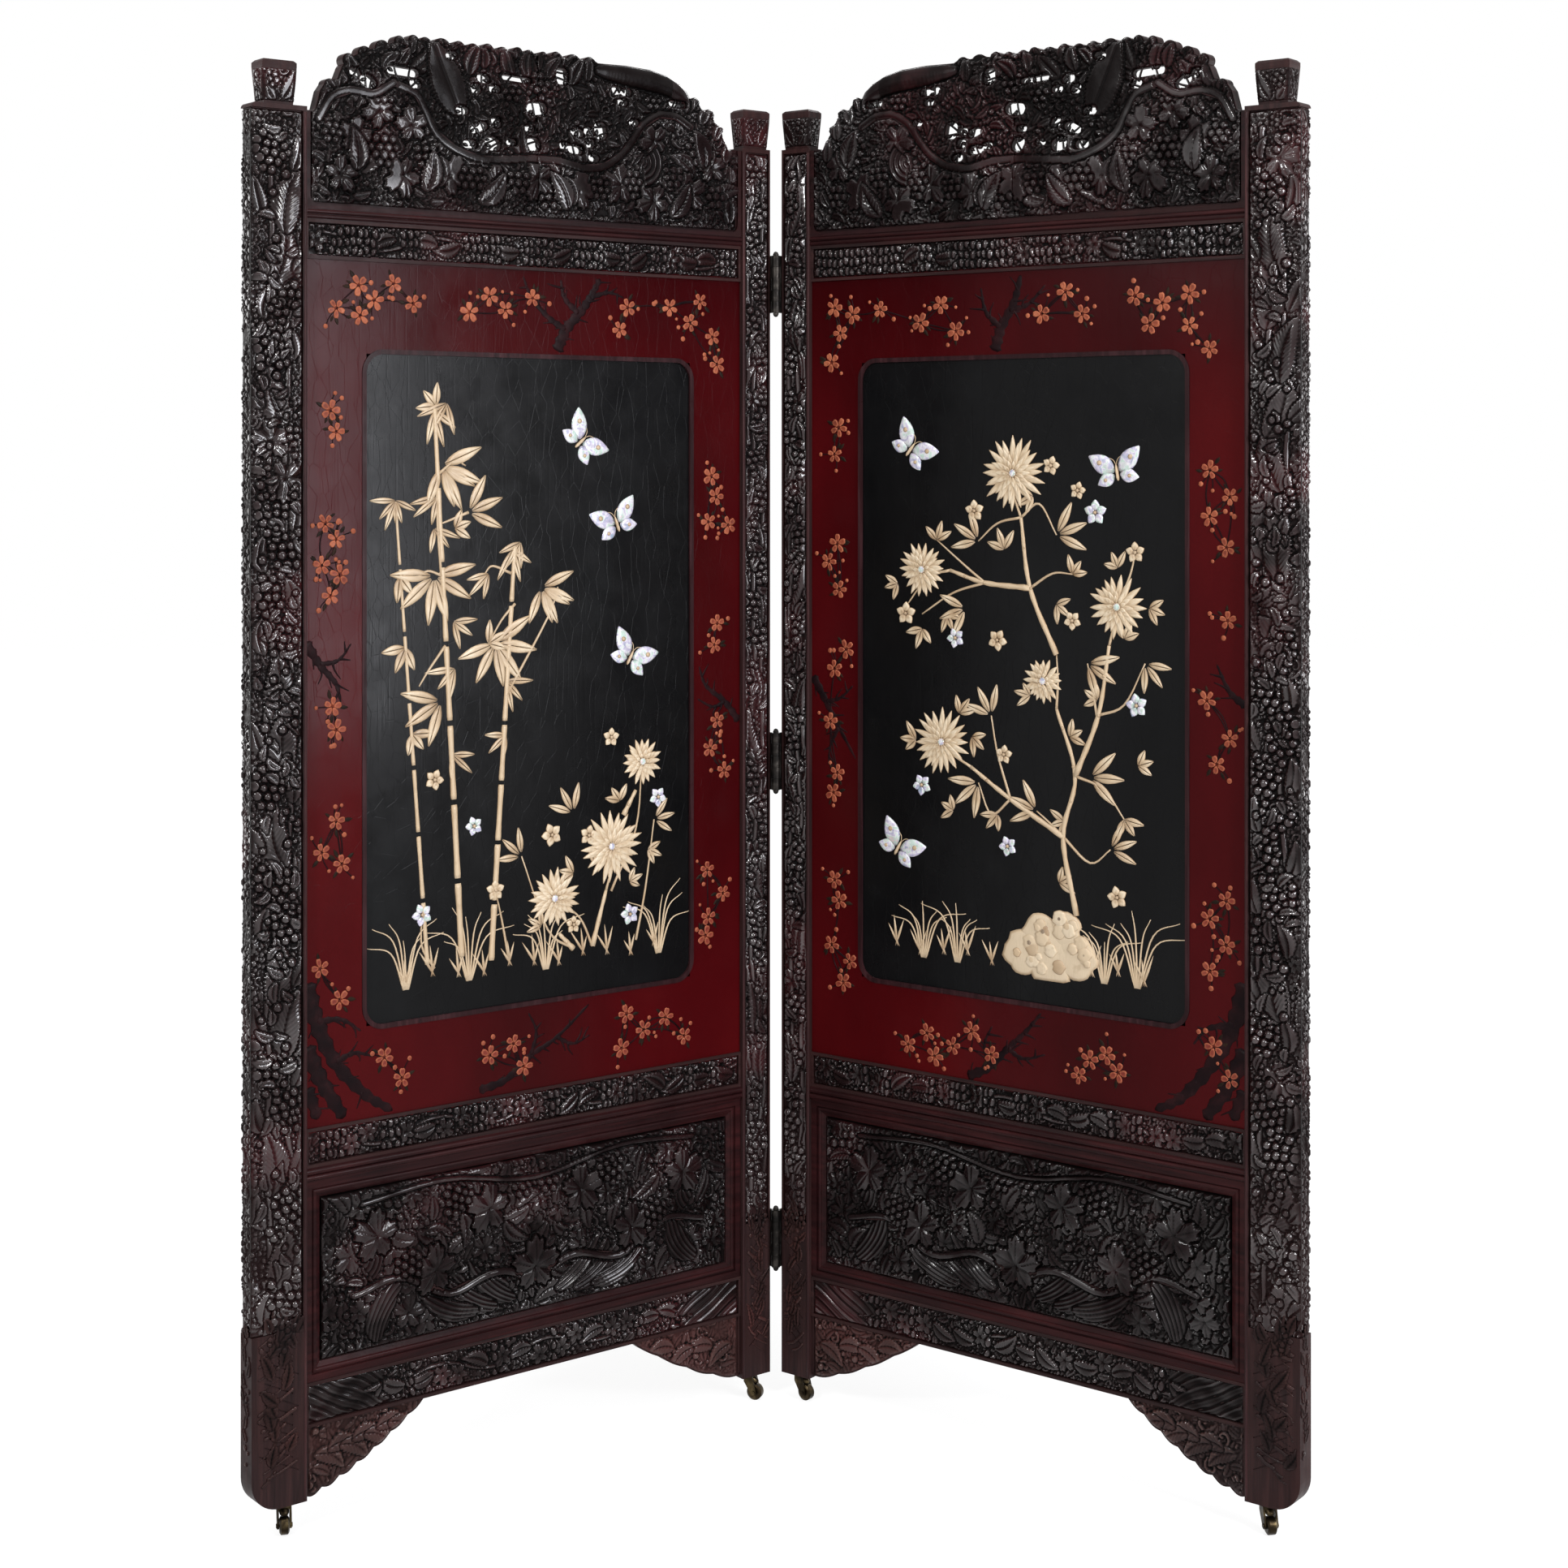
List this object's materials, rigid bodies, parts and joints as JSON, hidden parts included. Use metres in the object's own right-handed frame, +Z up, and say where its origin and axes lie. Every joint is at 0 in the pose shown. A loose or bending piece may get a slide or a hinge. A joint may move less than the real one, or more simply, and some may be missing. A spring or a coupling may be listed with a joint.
{
  "type": "two-panel folding screen",
  "caption": "Folding screen with carved dark wood frames, pierced crests, red lacquer borders round inlaid black panels, carved lower panels, butt hinges and swivel casters.",
  "frame": {"origin": "on the floor at the middle of the screen as it stands, half way across its width and its depth", "axes": "+X to the right as seen from the front, +Y towards the back where the two panels meet, +Z up"},
  "size_m": [1.303, 0.5036, 1.85],
  "materials": {
    "carved_wood": "dark stained and polished hardwood",
    "moulding_wood": "polished reddish brown hardwood",
    "red_lacquer": "glossy dark red lacquer on board",
    "black_lacquer": "black lacquer on board",
    "bead_wood": "polished bead",
    "back_lacquer": "plain dark lacquer on board",
    "bone": "carved and polished bone",
    "shell": "polished mother-of-pearl",
    "hinge_iron": "dark patinated iron",
    "caster_brass": "dark aged brass"
  },
  "bodies": {
    "left_panel": {"left_outer_post": "carved_wood", "left_inner_post": "carved_wood", "left_finials": "carved_wood", "left_crest": "carved_wood", "left_crest_moulding": "moulding_wood", "left_upper_rail": "carved_wood", "left_lacquer_border": "red_lacquer", "left_picture_panel": "black_lacquer", "left_picture_bead": "bead_wood", "left_back_panel": "back_lacquer", "left_back_beading": "moulding_wood", "left_bone_inlay": "bone", "left_shell_inlay": "shell", "left_lower_rail": "carved_wood", "left_rail_moulding": "moulding_wood", "left_panel_moulding": "moulding_wood", "left_carved_panel": "carved_wood", "left_bottom_rail": "carved_wood", "left_outer_bracket": "carved_wood", "left_inner_bracket": "carved_wood", "left_hinge_leaves": "hinge_iron", "left_caster_plates": "caster_brass", "left_screws": "hinge_iron", "hinge_pins": "hinge_iron"},
    "right_panel": {"right_outer_post": "carved_wood", "right_inner_post": "carved_wood", "right_finials": "carved_wood", "right_crest": "carved_wood", "right_crest_moulding": "moulding_wood", "right_upper_rail": "carved_wood", "right_lacquer_border": "red_lacquer", "right_picture_panel": "black_lacquer", "right_picture_bead": "bead_wood", "right_back_panel": "back_lacquer", "right_back_beading": "moulding_wood", "right_bone_inlay": "bone", "right_shell_inlay": "shell", "right_lower_rail": "carved_wood", "right_rail_moulding": "moulding_wood", "right_panel_moulding": "moulding_wood", "right_carved_panel": "carved_wood", "right_bottom_rail": "carved_wood", "right_outer_bracket": "carved_wood", "right_inner_bracket": "carved_wood", "right_hinge_leaves": "hinge_iron", "right_caster_plates": "caster_brass", "right_screws": "hinge_iron"},
    "left_outer_swivel": {"left_outer_fork": "caster_brass", "left_outer_axle": "caster_brass"},
    "left_outer_roller": {"left_outer_wheel": "caster_brass"},
    "left_inner_swivel": {"left_inner_fork": "caster_brass", "left_inner_axle": "caster_brass"},
    "left_inner_roller": {"left_inner_wheel": "caster_brass"},
    "right_inner_swivel": {"right_inner_fork": "caster_brass", "right_inner_axle": "caster_brass"},
    "right_inner_roller": {"right_inner_wheel": "caster_brass"},
    "right_outer_swivel": {"right_outer_fork": "caster_brass", "right_outer_axle": "caster_brass"},
    "right_outer_roller": {"right_outer_wheel": "caster_brass"}
  },
  "joints": [
    {"name": "fold_hinge", "type": "hinge", "parent": "left_panel", "child": "right_panel", "pos_m": [0, 0.22404, 0.891], "axis": [0, 0, 1], "range_deg": [-105, 75]},
    {"name": "left_outer_swivel_turn", "type": "hinge", "parent": "left_panel", "child": "left_outer_swivel", "pos_m": [-0.60267, -0.20941, 0.033], "axis": [0, 0, 1], "continuous": true},
    {"name": "left_outer_wheel_roll", "type": "hinge", "parent": "left_outer_swivel", "child": "left_outer_roller", "pos_m": [-0.60053, -0.21712, 0.011], "axis": [0.9636, 0.2672, 0], "continuous": true},
    {"name": "left_inner_swivel_turn", "type": "hinge", "parent": "left_panel", "child": "left_inner_swivel", "pos_m": [-0.03621, 0.22524, 0.033], "axis": [0, 0, 1], "continuous": true},
    {"name": "left_inner_wheel_roll", "type": "hinge", "parent": "left_inner_swivel", "child": "left_inner_roller", "pos_m": [-0.02872, 0.22244, 0.011], "axis": [0.3502, 0.9367, 0], "continuous": true},
    {"name": "right_inner_swivel_turn", "type": "hinge", "parent": "right_panel", "child": "right_inner_swivel", "pos_m": [0.03621, 0.22524, 0.033], "axis": [0, 0, 1], "continuous": true},
    {"name": "right_inner_wheel_roll", "type": "hinge", "parent": "right_inner_swivel", "child": "right_inner_roller", "pos_m": [0.04239, 0.22015, 0.011], "axis": [0.6361, 0.7716, 0], "continuous": true},
    {"name": "right_outer_swivel_turn", "type": "hinge", "parent": "right_panel", "child": "right_outer_swivel", "pos_m": [0.60267, -0.20941, 0.033], "axis": [0, 0, 1], "continuous": true},
    {"name": "right_outer_wheel_roll", "type": "hinge", "parent": "right_outer_swivel", "child": "right_outer_roller", "pos_m": [0.60413, -0.21728, 0.011], "axis": [0.9833, 0.1822, 0], "continuous": true}
  ]
}
